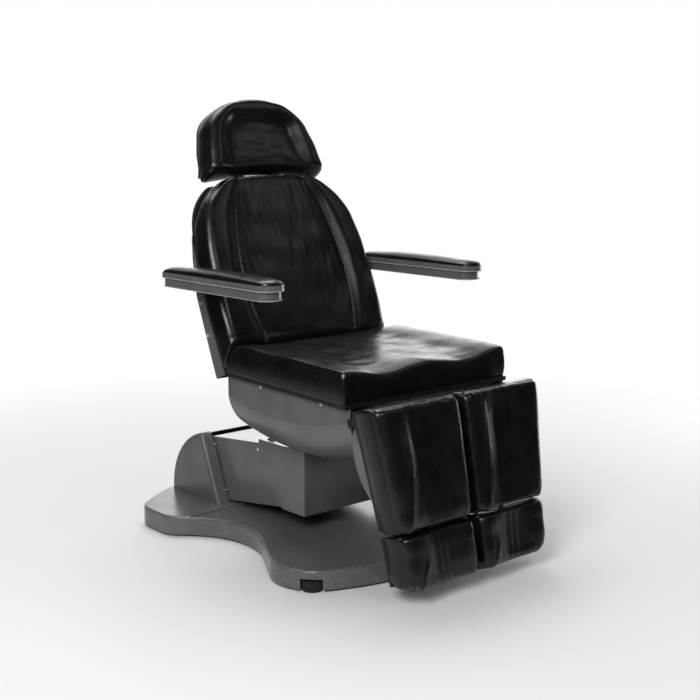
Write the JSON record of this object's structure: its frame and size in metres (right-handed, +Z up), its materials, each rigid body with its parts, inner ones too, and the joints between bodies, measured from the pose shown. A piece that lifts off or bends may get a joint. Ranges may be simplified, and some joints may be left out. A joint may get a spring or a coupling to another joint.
{
  "type": "podiatry chair",
  "caption": "Powered podiatry treatment chair on a low base with a lift arm, tilting seat, reclining back, split leg rest, flip-up armrests and adjustable headrest.",
  "frame": {"origin": "on the floor under the centre of the whole chair's outline in its pictured pose", "axes": "+Z up, -Y the way a seated person faces, +X to that person's left"},
  "size_m": [0.8114, 1.1907, 1.2572],
  "materials": {
    "speckled_cover": "satin",
    "grey_cover": "satin",
    "grey_sheet": "satin",
    "black_upholstery": "satin",
    "board": "matte",
    "frame_steel": "satin",
    "bright_steel": "satin",
    "chrome": "polished",
    "rubber": "matte",
    "black_plastic": "satin",
    "motor_body": "satin"
  },
  "bodies": {
    "base": {"base_frame": "frame_steel", "front_base_cover": "speckled_cover", "rear_base_cover": "grey_cover", "levelling_feet": "rubber", "tower_shafts": "bright_steel", "base_cover_screws": "bright_steel", "control_box": "black_plastic", "power_inlet": "black_plastic"},
    "lift_arm": {"lift_arm_frame": "frame_steel", "lift_arm_cover": "grey_sheet", "arm_cover_fasteners": "bright_steel"},
    "lower_link": {"lower_link": "frame_steel"},
    "carriage": {"carriage_frame": "frame_steel", "carriage_cover": "grey_sheet", "carriage_shafts": "bright_steel"},
    "lift_motor": {"lift_motor": "motor_body"},
    "lift_rod": {"lift_rod": "bright_steel"},
    "seat": {"seat_frame": "frame_steel", "seat_shell": "grey_cover", "seat_board": "board", "seat_cushion": "black_upholstery", "shell_screws": "bright_steel", "tilt_pins": "bright_steel"},
    "tilt_motor": {"tilt_motor": "motor_body"},
    "tilt_rod": {"tilt_rod": "bright_steel"},
    "backrest": {"back_frame": "frame_steel", "back_board": "board", "back_cushion": "black_upholstery", "back_shell": "grey_cover", "back_shell_screws": "bright_steel"},
    "back_motor": {"back_motor": "motor_body"},
    "back_rod": {"back_rod": "bright_steel"},
    "leg_frame": {"leg_frame": "frame_steel"},
    "leg_motor": {"leg_motor": "motor_body"},
    "leg_rod": {"leg_rod": "bright_steel"},
    "headrest_carrier": {"headrest_posts": "chrome"},
    "headrest": {"headrest_plate": "frame_steel", "headrest_board": "board", "headrest_cushion": "black_upholstery"},
    "left_armrest": {"left_armrest_bar": "frame_steel", "left_armrest_shell": "grey_cover", "left_armrest_pad": "black_upholstery"},
    "left_leg": {"left_leg_rail": "frame_steel", "left_leg_board": "board", "left_leg_cushion": "black_upholstery", "left_leg_shell": "grey_cover"},
    "left_foot": {"left_foot_rail": "frame_steel", "left_foot_board": "board", "left_foot_cushion": "black_upholstery"},
    "right_armrest": {"right_armrest_bar": "frame_steel", "right_armrest_shell": "grey_cover", "right_armrest_pad": "black_upholstery"},
    "right_leg": {"right_leg_rail": "frame_steel", "right_leg_board": "board", "right_leg_cushion": "black_upholstery", "right_leg_shell": "grey_cover"},
    "right_foot": {"right_foot_rail": "frame_steel", "right_foot_board": "board", "right_foot_cushion": "black_upholstery"}
  },
  "joints": [
    {"name": "lift", "type": "hinge", "parent": "base", "child": "lift_arm", "pos_m": [0, 0.4, 0.175], "axis": [-1, 0, 0], "range_deg": [0, 38]},
    {"name": "lower_link_turn", "type": "hinge", "parent": "base", "child": "lower_link", "pos_m": [0, 0.4, 0.11], "axis": [-1, 0, 0], "range_deg": [0, 38]},
    {"name": "carriage_level", "type": "hinge", "parent": "lift_arm", "child": "carriage", "pos_m": [0, -0.01687, 0.22618], "axis": [-1, 0, 0], "range_deg": [-38, 0]},
    {"name": "lift_motor_turn", "type": "hinge", "parent": "base", "child": "lift_motor", "pos_m": [0, 0.37, 0.085], "axis": [-1, 0, 0], "range_deg": [0, 32.2]},
    {"name": "lift_rod_slide", "type": "slide", "parent": "lift_motor", "child": "lift_rod", "axis": [0, -0.8711, 0.4911], "range_m": [0, 0.0556]},
    {"name": "seat_tilt", "type": "hinge", "parent": "carriage", "child": "seat", "pos_m": [0, 0.07, 0.33], "axis": [-1, 0, 0], "range_deg": [0, 12]},
    {"name": "tilt_motor_turn", "type": "hinge", "parent": "carriage", "child": "tilt_motor", "pos_m": [0.045, -0.056, 0.165], "axis": [-1, 0, 0], "range_deg": [0, 4.7]},
    {"name": "tilt_rod_slide", "type": "slide", "parent": "tilt_motor", "child": "tilt_rod", "axis": [0, -0.0154, 0.9999], "range_m": [0, 0.0256]},
    {"name": "recline", "type": "hinge", "parent": "seat", "child": "backrest", "pos_m": [0, 0.14042, 0.49194], "axis": [-1, 0, 0], "range_deg": [0, 67]},
    {"name": "back_motor_turn", "type": "hinge", "parent": "seat", "child": "back_motor", "pos_m": [-0.064, -0.23, 0.4], "axis": [-1, 0, 0], "range_deg": [-6.2, 0]},
    {"name": "back_rod_slide", "type": "slide", "parent": "back_motor", "child": "back_rod", "axis": [0, 0.9951, 0.0993], "range_m": [-0.0416, 0]},
    {"name": "leg_lift", "type": "hinge", "parent": "seat", "child": "leg_frame", "pos_m": [0, -0.414, 0.474], "axis": [-1, 0, 0], "range_deg": [0, 79]},
    {"name": "leg_motor_turn", "type": "hinge", "parent": "seat", "child": "leg_motor", "pos_m": [0, -0.1, 0.385], "axis": [-1, 0, 0], "range_deg": [0, 3.8]},
    {"name": "leg_rod_slide", "type": "slide", "parent": "leg_motor", "child": "leg_rod", "axis": [0, -0.9937, 0.1123], "range_m": [0, 0.0608]},
    {"name": "headrest_height", "type": "slide", "parent": "backrest", "child": "headrest_carrier", "axis": [0, 0.3843, 0.9232], "range_m": [0, 0.08]},
    {"name": "headrest_tilt", "type": "hinge", "parent": "headrest_carrier", "child": "headrest", "pos_m": [0, 0.36416, 1.02164], "axis": [-1, 0, 0], "range_deg": [0, 35]},
    {"name": "left_armrest_flip", "type": "hinge", "parent": "backrest", "child": "left_armrest", "pos_m": [0.3645, 0.24563, 0.74602], "axis": [-1, 0, 0], "range_deg": [0, 110]},
    {"name": "left_leg_swing", "type": "hinge", "parent": "leg_frame", "child": "left_leg", "pos_m": [0.285, -0.42073, 0.44849], "axis": [0, -0.982, 0.1891], "range_deg": [0, 25]},
    {"name": "left_foot_slide", "type": "slide", "parent": "left_leg", "child": "left_foot", "axis": [0, -0.1891, -0.982], "range_m": [0, 0.13]},
    {"name": "right_armrest_flip", "type": "hinge", "parent": "backrest", "child": "right_armrest", "pos_m": [-0.3645, 0.24563, 0.74602], "axis": [-1, 0, 0], "range_deg": [0, 110]},
    {"name": "right_leg_swing", "type": "hinge", "parent": "leg_frame", "child": "right_leg", "pos_m": [-0.285, -0.42073, 0.44849], "axis": [0, 0.982, -0.1891], "range_deg": [0, 25]},
    {"name": "right_foot_slide", "type": "slide", "parent": "right_leg", "child": "right_foot", "axis": [0, -0.1891, -0.982], "range_m": [0, 0.13]}
  ],
  "couplings": [
    {"joint": "lower_link_turn", "follows": "lift", "ratio": 1},
    {"joint": "carriage_level", "follows": "lift", "ratio": -1},
    {"joint": "lift_motor_turn", "follows": "lift", "ratio": 0.8452},
    {"joint": "lift_rod_slide", "follows": "lift", "m_per_rad": 0.083698},
    {"joint": "tilt_motor_turn", "follows": "seat_tilt", "ratio": 0.3848},
    {"joint": "tilt_rod_slide", "follows": "seat_tilt", "m_per_rad": 0.12191},
    {"joint": "back_motor_turn", "follows": "recline", "ratio": -0.0919},
    {"joint": "back_rod_slide", "follows": "recline", "m_per_rad": -0.035493},
    {"joint": "leg_motor_turn", "follows": "leg_lift", "ratio": 0.047},
    {"joint": "leg_rod_slide", "follows": "leg_lift", "m_per_rad": 0.044051}
  ]
}
